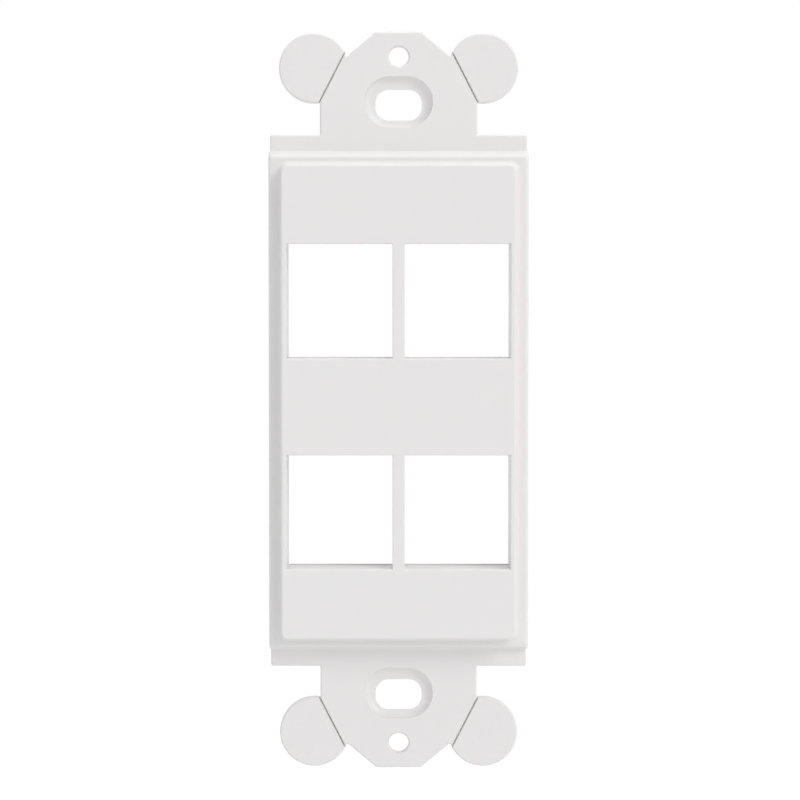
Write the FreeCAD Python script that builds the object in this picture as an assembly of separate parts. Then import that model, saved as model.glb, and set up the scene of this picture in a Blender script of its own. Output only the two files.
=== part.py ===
import FreeCAD, Part
import os

# Keystone module frame: one white moulding that stands in the rectangular opening of a
# single-gang wallplate and takes four keystone jacks from behind.
# X runs to the viewer's right, Y into the wall and Z up, in millimetres. The origin is
# midway between the box screws, on the rear face of the strap, which lies on the wall.

# Keystone jack's space; the depths count from the face
port_width = 14.8
port_height = 16.0
port_edge_round = 0.15
socket_depth = 9.7
hook_lip = 6.5
hook_pocket = 2.0
latch_lip = 4.0
latch_pocket = 4.0
latch_catch = 2.0
catch_thickness = 1.7
lead_in = 0.8

# Blocks that hold the jacks, two in a row
port_divider = 1.7
socket_wall = 1.4
socket_side_wall = 1.35
socket_corner = 0.8
row_gap = 4.7
rows_raised = 0.4

# Face that fills the wallplate opening
face_reach = 6.4
face_side_wall = 0.8
face_end_space = 4.45
face_draft = 0.1
face_corner = 1.0
face_edge_round = 0.35
face_foot_round = 0.6

# Stepped body behind the face, and the flanges at its ends
side_ledge = 1.8
end_ledge = 1.3
step_height = 1.4
step_run = 0.7
step_edge_round = 0.7
body_side_round = 0.45
flange_reach = 2.27
flange_inset = 0.2
flange_corner = 0.35
flange_edge_round = 0.25

# Screw places, at the standard spacings
box_screw_spacing = 83.34
plate_screw_offset = 6.75
plate_screw_hole = 2.8
hole_chamfer = 0.2
slot_length = 6.5
slot_width = 4.35
slot_corner = 1.85
dish_length = 9.7
dish_width = 7.2
dish_depth = 1.0
dish_wall_run = 1.1
dish_raised = 0.4

# Strap and its break-off ears
strap_thickness = 1.8
strap_edge_bevel = 0.2
strap_end_margin = 3.48
tab_width = 22.1
tab_end_width = 6.3
shoulder_width = 14.1
shoulder_drop = 3.25
nick_width = 0.74
nick_drop = 0.1
score_foot_drop = 9.7
score_width = 0.3
score_depth = 0.5
ear_radius = 4.9
ear_outset = 0.85
ear_drop = 5.1

# Hollows, ribs and the ejector pins' marks at the rear
wall = 1.6
rib_thickness = 1.1
rib_spread = 12.0
rib_setback = 0.6
pin_mark_diameter = 2.5
pin_mark_depth = 0.15
pin_mark_inset = 2.2

# Depths of the main planes
strap_front = -strap_thickness
ledge = strap_front - step_height
face = -face_reach
socket_rear = face + socket_depth

# Sizes and places that follow
socket_height = port_height + hook_pocket + latch_pocket + 2 * socket_wall
row_pitch = socket_height + row_gap
column_pitch = port_width + port_divider
ports_width = column_pitch + port_width
port_lowered = (latch_pocket - hook_pocket) / 2
columns = [-column_pitch / 2, column_pitch / 2]
rows = [rows_raised - port_lowered + side * row_pitch / 2 for side in (1, -1)]
face_width = ports_width + 2 * face_side_wall
face_height = 2 * socket_height + row_gap + 2 * (face_end_space + wall)
body_width = face_width + 2 * side_ledge
body_height = face_height + 2 * (end_ledge + step_run)
flange_width = body_width - 2 * flange_inset
flange_height = body_height + 2 * flange_reach
plate_screw_spacing = box_screw_spacing + 2 * plate_screw_offset
strap_length = plate_screw_spacing + 2 * strap_end_margin

# How far a cut runs past the surface it opens, and how closely an edge's place is told
overrun = 1.0
hair = 1e-3


def block(width, height, front, rear, z=0.0):
    """Box centred on the plane X = 0 and the height z."""
    corner = FreeCAD.Vector(-width / 2, front, z - height / 2)
    return Part.makeBox(width, rear - front, height, corner)


def polygon(points):
    return Part.Face(Part.makePolygon(points + points[:1]))


def bar(section, width, x=0.0):
    """Solid with the (depth, height) section, as wide along X and centred at x."""
    points = [FreeCAD.Vector(x - width / 2, depth, height) for depth, height in section]
    return polygon(points).extrude(FreeCAD.Vector(width, 0, 0))


def drum(radius, front, rear, x, z):
    """Cylinder along Y."""
    return Part.makeCylinder(radius, rear - front, FreeCAD.Vector(x, front, z), FreeCAD.Vector(0, 1, 0))


def corner_edges(shape):
    """The edges that run from the front of a block to its rear."""
    sizes = [(edge, edge.BoundBox) for edge in shape.Edges]
    return [edge for edge, box in sizes if box.YLength > box.XLength + box.ZLength]


def edges_at(shape, depth):
    """The edges that lie in the plane at one depth."""
    return [
        edge for edge in shape.Edges
        if edge.BoundBox.YLength < hair and abs(edge.BoundBox.Center.y - depth) < hair
    ]


def side_edges(shape, width):
    """The edges of a block's two side faces, apart from those in its rear plane."""
    sizes = [(edge, edge.BoundBox) for edge in shape.Edges]
    return [
        edge for edge, box in sizes
        if box.XLength < hair and abs(abs(box.Center.x) - width / 2) < hair and box.YMin < -hair
    ]


def within(edges, width, height):
    """Those of the edges that lie inside a rectangle round the middle."""
    return [
        edge for edge in edges
        if max(-edge.BoundBox.XMin, edge.BoundBox.XMax) < width / 2 + hair
        and max(-edge.BoundBox.ZMin, edge.BoundBox.ZMax) < height / 2 + hair
    ]


def rounded_block(shape, corner, edge_depth, edge_round):
    """Block with rounded corners, and a rounded edge all along its outline at one depth."""
    shape = shape.makeFillet(corner, corner_edges(shape))
    return shape.makeFillet(edge_round, edges_at(shape, edge_depth))


def tapered_block(width, height, front, rear, draft):
    """Block whose outline grows by the draft on each side from its front to its rear."""
    half_x = width / 2
    half_z = height / 2
    rear_x = half_x + draft
    rear_z = half_z + draft
    return Part.makeWedge(-half_x, front, -half_z, -rear_z, -rear_x, half_x, rear, half_z, rear_z, rear_x)


def four_ways(shape):
    """The shape and its mirror images across X = 0 and Z = 0."""
    origin = FreeCAD.Vector(0, 0, 0)
    pair = [shape, shape.mirror(origin, FreeCAD.Vector(1, 0, 0))]
    return pair + [each.mirror(origin, FreeCAD.Vector(0, 0, 1)) for each in pair]


def score_line():
    """Ends of the line between the tab and its upper right ear: in the nick and at the tab's side."""
    end = strap_length / 2
    head = (shoulder_width / 2 + nick_width, end - shoulder_drop - nick_drop)
    return head, (tab_width / 2, end - score_foot_drop)


def tab_outline():
    """Outline of the strap with its ears broken off."""
    end = strap_length / 2
    half = [(tab_end_width / 2, end), (shoulder_width / 2, end - shoulder_drop), *score_line()]
    right = half + [(x, -z) for x, z in reversed(half)]
    return right + [(-x, z) for x, z in reversed(right)]


def ear_centre():
    return tab_width / 2 + ear_outset, strap_length / 2 - ear_drop


def score_groove(surface, inward):
    """V groove between the tab and its upper right ear, sunk inward from a surface."""
    head, foot = [FreeCAD.Vector(x, surface, z) for x, z in score_line()]
    along = (foot - head).normalize()
    across = FreeCAD.Vector(along.z, 0, -along.x)
    sink = FreeCAD.Vector(0, inward * score_depth, 0)
    start = head - along * overrun
    rim = start - sink
    profile = polygon([start + sink, rim + across * score_width, rim - across * score_width])
    return profile.extrude(along * ((foot - head).Length + 2 * overrun))


def screw_slot(height):
    """Cut for a slot through the strap, with large round corners."""
    slot = block(slot_length, slot_width, strap_front - overrun, overrun, height)
    return slot.makeFillet(slot_corner, corner_edges(slot))


def dish_section():
    """Half of the dish's section at X = 0: its wall is an arc that runs out into its floor."""
    front = strap_front - overrun
    floor = strap_front + dish_depth
    rim = dish_width / 2
    radius = (dish_wall_run ** 2 + dish_depth ** 2) / (2 * dish_depth)
    wall_top = FreeCAD.Vector(0, strap_front, rim)
    wall_foot = FreeCAD.Vector(0, floor, rim - dish_wall_run)
    centre = wall_foot - FreeCAD.Vector(0, radius, 0)
    halfway = (wall_top + wall_foot) / 2 - centre
    arc = Part.Arc(wall_top, centre + halfway.normalize() * radius, wall_foot).toShape()
    rest = [FreeCAD.Vector(0, depth, z) for depth, z in ((floor, 0), (front, 0), (front, rim))]
    lines = Part.makePolygon([wall_foot] + rest + [wall_top])
    return Part.Face(Part.Wire([arc] + lines.Edges))


def screw_dish(height):
    """Cut for the round-ended dish round a slot."""
    section = dish_section()
    straight = dish_length - dish_width
    upper = section.translated(FreeCAD.Vector(-straight / 2, 0, 0)).extrude(FreeCAD.Vector(straight, 0, 0))
    lower = upper.mirror(FreeCAD.Vector(0, 0, 0), FreeCAD.Vector(0, 0, 1))
    end = section.revolve(FreeCAD.Vector(0, 0, 0), FreeCAD.Vector(0, 1, 0), 360)
    ends = [end.translated(FreeCAD.Vector(side * straight / 2, 0, 0)) for side in (-1, 1)]
    dish = upper.fuse([lower] + ends).removeSplitter()
    return dish.translated(FreeCAD.Vector(0, 0, height))


def make_strap():
    """Flat strap with its ears, before the screw places and the score lines."""
    outline = [FreeCAD.Vector(x, strap_front, z) for x, z in tab_outline()]
    plate = polygon(outline).extrude(FreeCAD.Vector(0, strap_thickness, 0))
    ear = drum(ear_radius, strap_front, 0, *ear_centre())
    plate = plate.fuse(four_ways(ear)).removeSplitter()
    return plate.makeChamfer(strap_edge_bevel, edges_at(plate, strap_front))


def make_flange():
    flange = block(flange_width, flange_height, strap_front, 0)
    return rounded_block(flange, flange_corner, strap_front, flange_edge_round)


def make_body():
    """Stepped body: straight to the strap's front, then sloped at its ends up to the ledge."""
    end = body_height / 2
    half = [(0, end), (strap_front, end), (ledge, end - step_run)]
    section = half + [(depth, -height) for depth, height in reversed(half)]
    body = bar(section, body_width)
    end_edges = [edge for edge in edges_at(body, ledge) if edge.BoundBox.XLength > edge.BoundBox.ZLength]
    body = body.makeFillet(step_edge_round, end_edges)
    return body.makeFillet(body_side_round, side_edges(body, body_width))


def make_face():
    plateau = tapered_block(face_width, face_height, face, ledge, face_draft)
    return rounded_block(plateau, face_corner, face, face_edge_round)


def join_face(body, plateau):
    """Body and face in one, with a fillet where the face rises from the ledge."""
    joined = body.fuse(plateau).removeSplitter()
    foot = within(edges_at(joined, ledge), face_width + 2 * face_draft, face_height + 2 * face_draft)
    return joined.makeFillet(face_foot_round, foot)


def make_sockets():
    """The two rows of sockets, as solid blocks that stand out behind the strap."""
    width = ports_width + 2 * socket_side_wall
    blocks = []
    for row in rows:
        middle = row + port_lowered
        solid = block(width, socket_height, strap_front, socket_rear, middle)
        blocks.append(solid.makeFillet(socket_corner, corner_edges(solid)))
    return blocks


def port_cut(x, z):
    """Space of one keystone jack: the port, the hook's pocket below and the latch's above."""
    floor = z - port_height / 2
    roof = z + port_height / 2
    catch = socket_depth - catch_thickness
    latch = roof + latch_pocket - latch_catch
    section = [
        (-overrun, floor),
        (hook_lip, floor),
        (hook_lip, floor - hook_pocket),
        (catch, floor - hook_pocket),
        (catch, floor),
        (socket_depth - lead_in, floor),
        (socket_depth + overrun, floor - lead_in - overrun),
        (socket_depth + overrun, latch + lead_in + overrun),
        (socket_depth - lead_in, latch),
        (catch, latch),
        (catch, roof + latch_pocket),
        (latch_lip, roof + latch_pocket),
        (latch_lip, roof),
        (-overrun, roof),
    ]
    return bar([(face + depth, height) for depth, height in section], port_width, x)


def hollow(width, low, high, front):
    """Hollow that opens at the rear, between two heights."""
    return block(width, high - low, front, overrun, (low + high) / 2)


def make_hollows():
    """Hollows above, between and below the rows, with walls of one thickness round them."""
    over_row = port_height / 2 + latch_pocket + socket_wall
    under_row = port_height / 2 + hook_pocket + socket_wall
    high_roof = rows[0] + over_row
    high_floor = rows[0] - under_row
    low_roof = rows[1] + over_row
    low_floor = rows[1] - under_row
    inside_face = face_height / 2 - wall
    inside_step = body_height / 2 - step_run - wall
    width = face_width - 2 * wall
    deep = face + wall
    shallow = ledge + wall
    cuts = [
        hollow(width, high_roof, inside_face, deep),
        hollow(width, low_roof, high_floor, deep),
        hollow(width, -inside_face, low_floor, deep),
        hollow(width, high_roof, inside_step, shallow),
        hollow(width, -inside_step, low_floor, shallow),
    ]
    ribs = []
    for side in (-1, 1):
        rib = block(rib_thickness, body_height - 2 * wall, deep, -rib_setback)
        ribs.append(rib.translated(FreeCAD.Vector(side * rib_spread / 2, 0, 0)))
    return [cut.cut(ribs) for cut in cuts]


def pin_marks():
    """Shallow round marks that the ejector pins leave on the rear."""
    radius = pin_mark_diameter / 2
    ear = drum(radius, -pin_mark_depth, overrun, *ear_centre())
    across = flange_width / 2 - pin_mark_inset
    up = flange_height / 2 - pin_mark_inset
    flange = drum(radius, -pin_mark_depth, overrun, across, up)
    return four_ways(ear) + four_ways(flange)


def screw_cuts():
    """Round holes for the wallplate screws and dished slots for the box screws."""
    cuts = []
    for side in (-1, 1):
        height = side * plate_screw_spacing / 2
        radius = plate_screw_hole / 2
        mouth = FreeCAD.Vector(0, strap_front, height)
        into = FreeCAD.Vector(0, 1, 0)
        cuts.append(drum(radius, strap_front - overrun, overrun, 0, height))
        cuts.append(Part.makeCone(radius + hole_chamfer, radius, hole_chamfer, mouth, into))
        height = side * box_screw_spacing / 2
        cuts += [screw_slot(height), screw_dish(height + dish_raised)]
    return cuts


def make_frame():
    body = join_face(make_body(), make_face())
    solid = make_strap().fuse([make_flange(), body] + make_sockets()).removeSplitter()
    ports = [port_cut(x, z) for x in columns for z in rows]
    scores = four_ways(score_groove(strap_front, 1)) + four_ways(score_groove(0, -1))
    solid = solid.cut(make_hollows() + ports)
    solid = solid.makeFillet(port_edge_round, within(edges_at(solid, face), ports_width, face_height))
    return solid.cut(screw_cuts() + scores + pin_marks()).removeSplitter()


os.makedirs("parts", exist_ok=True)
module_frame = make_frame()
print("module_frame", len(module_frame.Solids), module_frame.isValid(), module_frame.Volume)
module_frame.Solids[0].exportStep("parts/module_frame.step")
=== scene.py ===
import bpy
import math
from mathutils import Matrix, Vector


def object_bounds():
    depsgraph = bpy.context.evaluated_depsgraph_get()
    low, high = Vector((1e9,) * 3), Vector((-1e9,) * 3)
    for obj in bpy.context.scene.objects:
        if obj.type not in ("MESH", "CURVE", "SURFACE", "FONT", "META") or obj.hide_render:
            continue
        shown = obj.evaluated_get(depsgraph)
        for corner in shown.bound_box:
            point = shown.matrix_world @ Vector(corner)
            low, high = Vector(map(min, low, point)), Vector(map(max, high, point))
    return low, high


# Keystone module frame in satin white plastic, seen from the front. Lengths are in metres.

# Camera, as the photograph was taken
VIEW_WIDTH = 0.11275
CAMERA_DISTANCE = 0.44
CAMERA_ELEVATION = 2.5
CAMERA_TARGET = Vector((0.0002, -0.0018, 0.0002))
SENSOR_WIDTH = 36.0
NEAREST_SEEN = 0.0044

# Soft lights; a level is the share of white that a matte white surface facing the lamp gets
LAMP_DISTANCE = 3.0
KEY_DIRECTION = Vector((0.62, -0.66, 0.60))
KEY_SIZE = 1.4
KEY_LEVEL = 0.285
TOP_DIRECTION = Vector((0.0, -0.1, 1.0))
TOP_SIZE = 0.6
TOP_LEVEL = 0.18

# Room: its own light, cooler and dimmer on the left, and the white that the camera sees
ROOM_LEFT = (0.61, 0.65, 0.685, 1.0)
ROOM_RIGHT = (0.80, 0.785, 0.78, 1.0)
BACKDROP_COLOUR = (1.0, 1.0, 1.0, 1.0)
BACKDROP_LEVEL = 1.0

# Floor: the camera sees mostly its own glow, with a share of the light that falls on it
FLOOR_SIZE = 1.2
FLOOR_DROP = 0.05
FLOOR_COLOUR = (0.90, 0.90, 0.90, 1.0)
FLOOR_GLOW_SHARE = 0.8
FLOOR_GLOW_LEVEL = 1.08

# Plastic: two close whites mottled together, uneven gloss and the mould's grain
PLASTIC_COLOUR = (0.806, 0.784, 0.771, 1.0)
MOTTLE_COLOUR = (0.796, 0.776, 0.765, 1.0)
MOTTLE_SCALE = 160.0
MOTTLE_DETAIL = 3.0
MOTTLE_LOW = 0.3
MOTTLE_HIGH = 0.7
ROUGHNESS_LOW = 0.36
ROUGHNESS_HIGH = 0.46
GRAIN_SCALE = 5200.0
GRAIN_DETAIL = 2.0
GRAIN_STRENGTH = 0.35
GRAIN_HEIGHT = 0.000012
PLASTIC_IOR = 1.53

# Sockets of Blender's Mix node where it mixes colours
MIX_FACTOR = 0
MIX_FIRST = 6
MIX_SECOND = 7
MIX_RESULT = 2


def new_material(name):
    """Material with an empty node tree."""
    material = bpy.data.materials.new(name)
    material.use_nodes = True
    material.node_tree.nodes.clear()
    return material


def add_node(tree, kind, inputs=None, **settings):
    """Node of one kind, with its settings and its inputs' values or links."""
    node = tree.nodes.new(kind)
    for name, value in settings.items():
        setattr(node, name, value)
    for name, value in (inputs or {}).items():
        if isinstance(value, bpy.types.NodeSocket):
            tree.links.new(value, node.inputs[name])
        else:
            node.inputs[name].default_value = value
    return node


def noise(tree, place, scale, detail):
    """Noise between 0 and 1 over a place."""
    inputs = {"Vector": place, "Scale": scale, "Detail": detail}
    return add_node(tree, "ShaderNodeTexNoise", inputs).outputs["Fac"]


def mixed_colour(tree, factor, first, second):
    """Colour between two others."""
    inputs = {MIX_FACTOR: factor, MIX_FIRST: first, MIX_SECOND: second}
    return add_node(tree, "ShaderNodeMix", inputs, data_type="RGBA").outputs[MIX_RESULT]


def mixed_shader(tree, factor, first, second):
    """Shader between those of two nodes."""
    inputs = {0: factor, 1: first.outputs[0], 2: second.outputs[0]}
    return add_node(tree, "ShaderNodeMixShader", inputs).outputs["Shader"]


def make_plastic():
    """Satin white plastic: faint mottling, uneven gloss and the mould's fine grain."""
    material = new_material("satin_white_plastic")
    tree = material.node_tree
    place = add_node(tree, "ShaderNodeTexCoord").outputs["Object"]
    mottle = noise(tree, place, MOTTLE_SCALE, MOTTLE_DETAIL)
    grain = noise(tree, place, GRAIN_SCALE, GRAIN_DETAIL)
    gloss = add_node(tree, "ShaderNodeMapRange", {
        "Value": mottle,
        "From Min": MOTTLE_LOW,
        "From Max": MOTTLE_HIGH,
        "To Min": ROUGHNESS_LOW,
        "To Max": ROUGHNESS_HIGH,
    })
    bump = add_node(tree, "ShaderNodeBump", {
        "Height": grain,
        "Strength": GRAIN_STRENGTH,
        "Distance": GRAIN_HEIGHT,
    })
    shader = add_node(tree, "ShaderNodeBsdfPrincipled", {
        "Base Color": mixed_colour(tree, mottle, PLASTIC_COLOUR, MOTTLE_COLOUR),
        "Roughness": gloss.outputs["Result"],
        "Normal": bump.outputs["Normal"],
        "IOR": PLASTIC_IOR,
    })
    add_node(tree, "ShaderNodeOutputMaterial", {"Surface": shader.outputs["BSDF"]})
    return material


def make_floor(height):
    """Pale floor under the part, white to the camera apart from the part's faint shadow."""
    material = new_material("pale_floor")
    tree = material.node_tree
    matte = add_node(tree, "ShaderNodeBsdfDiffuse", {"Color": FLOOR_COLOUR})
    glow = add_node(tree, "ShaderNodeEmission", {"Strength": FLOOR_GLOW_LEVEL})
    camera_ray = add_node(tree, "ShaderNodeLightPath").outputs["Is Camera Ray"]
    seen = add_node(
        tree, "ShaderNodeMath", {0: camera_ray, 1: FLOOR_GLOW_SHARE}, operation="MULTIPLY"
    )
    surface = mixed_shader(tree, seen.outputs["Value"], matte, glow)
    add_node(tree, "ShaderNodeOutputMaterial", {"Surface": surface})
    bpy.ops.mesh.primitive_plane_add(size=FLOOR_SIZE, location=(0, 0, height))
    floor = bpy.context.object
    floor.name = "floor"
    floor.data.materials.append(material)


def make_room():
    """World that lights the part softly and is white to the camera and in reflections."""
    world = bpy.data.worlds.new("room")
    bpy.context.scene.world = world
    world.use_nodes = True
    tree = world.node_tree
    tree.nodes.clear()
    direction = add_node(tree, "ShaderNodeTexCoord").outputs["Generated"]
    across = add_node(tree, "ShaderNodeSeparateXYZ", {"Vector": direction}).outputs["X"]
    # From -1 at the far left and 1 at the far right to 0 and 1
    rightward = add_node(tree, "ShaderNodeMapRange", {"Value": across, "From Min": -1.0})
    tint = mixed_colour(tree, rightward.outputs["Result"], ROOM_LEFT, ROOM_RIGHT)
    light = add_node(tree, "ShaderNodeBackground", {"Color": tint})
    backdrop = add_node(
        tree, "ShaderNodeBackground", {"Color": BACKDROP_COLOUR, "Strength": BACKDROP_LEVEL}
    )
    rays = add_node(tree, "ShaderNodeLightPath").outputs
    seen = {0: rays["Is Camera Ray"], 1: rays["Is Glossy Ray"]}
    shown = add_node(tree, "ShaderNodeMath", seen, operation="MAXIMUM")
    surface = mixed_shader(tree, shown.outputs["Value"], light, backdrop)
    add_node(tree, "ShaderNodeOutputWorld", {"Surface": surface})


def soft_light(name, target, direction, size, level):
    """Round lamp that faces the target from one direction."""
    data = bpy.data.lights.new(name, "AREA")
    data.shape = "DISK"
    data.size = size
    data.energy = level * (math.pi * LAMP_DISTANCE) ** 2
    lamp = bpy.data.objects.new(name, data)
    bpy.context.scene.collection.objects.link(lamp)
    toward = direction.normalized()
    lamp.location = target + toward * LAMP_DISTANCE
    lamp.rotation_mode = "QUATERNION"
    lamp.rotation_quaternion = (-toward).to_track_quat("-Z", "Y")


def make_camera():
    """Camera in front of the part, a little above it."""
    data = bpy.data.cameras.new("camera")
    data.sensor_width = SENSOR_WIDTH
    data.lens = SENSOR_WIDTH * CAMERA_DISTANCE / VIEW_WIDTH
    data.clip_start = NEAREST_SEEN
    camera = bpy.data.objects.new("camera", data)
    bpy.context.scene.collection.objects.link(camera)
    elevation = math.radians(CAMERA_ELEVATION)
    back = Vector((0.0, -math.cos(elevation), math.sin(elevation)))
    camera.location = CAMERA_TARGET + back * CAMERA_DISTANCE
    camera.rotation_mode = "QUATERNION"
    camera.rotation_quaternion = (-back).to_track_quat("-Z", "Y")
    bpy.context.scene.camera = camera


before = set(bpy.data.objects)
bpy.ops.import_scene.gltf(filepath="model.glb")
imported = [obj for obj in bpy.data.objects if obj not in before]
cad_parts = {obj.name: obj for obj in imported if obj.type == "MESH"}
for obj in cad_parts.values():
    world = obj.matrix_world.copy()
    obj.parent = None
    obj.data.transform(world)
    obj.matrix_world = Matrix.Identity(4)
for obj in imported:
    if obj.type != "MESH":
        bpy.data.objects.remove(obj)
bpy.context.view_layer.update()
cad_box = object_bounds()
low, high = cad_box
middle = (low + high) / 2

make_camera()
make_room()
make_floor(low.z - FLOOR_DROP)
soft_light("key", middle, KEY_DIRECTION, KEY_SIZE, KEY_LEVEL)
soft_light("top", middle, TOP_DIRECTION, TOP_SIZE, TOP_LEVEL)

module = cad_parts["module_frame"]
module.data.materials[0] = make_plastic()

bpy.context.scene.view_settings.view_transform = "Standard"
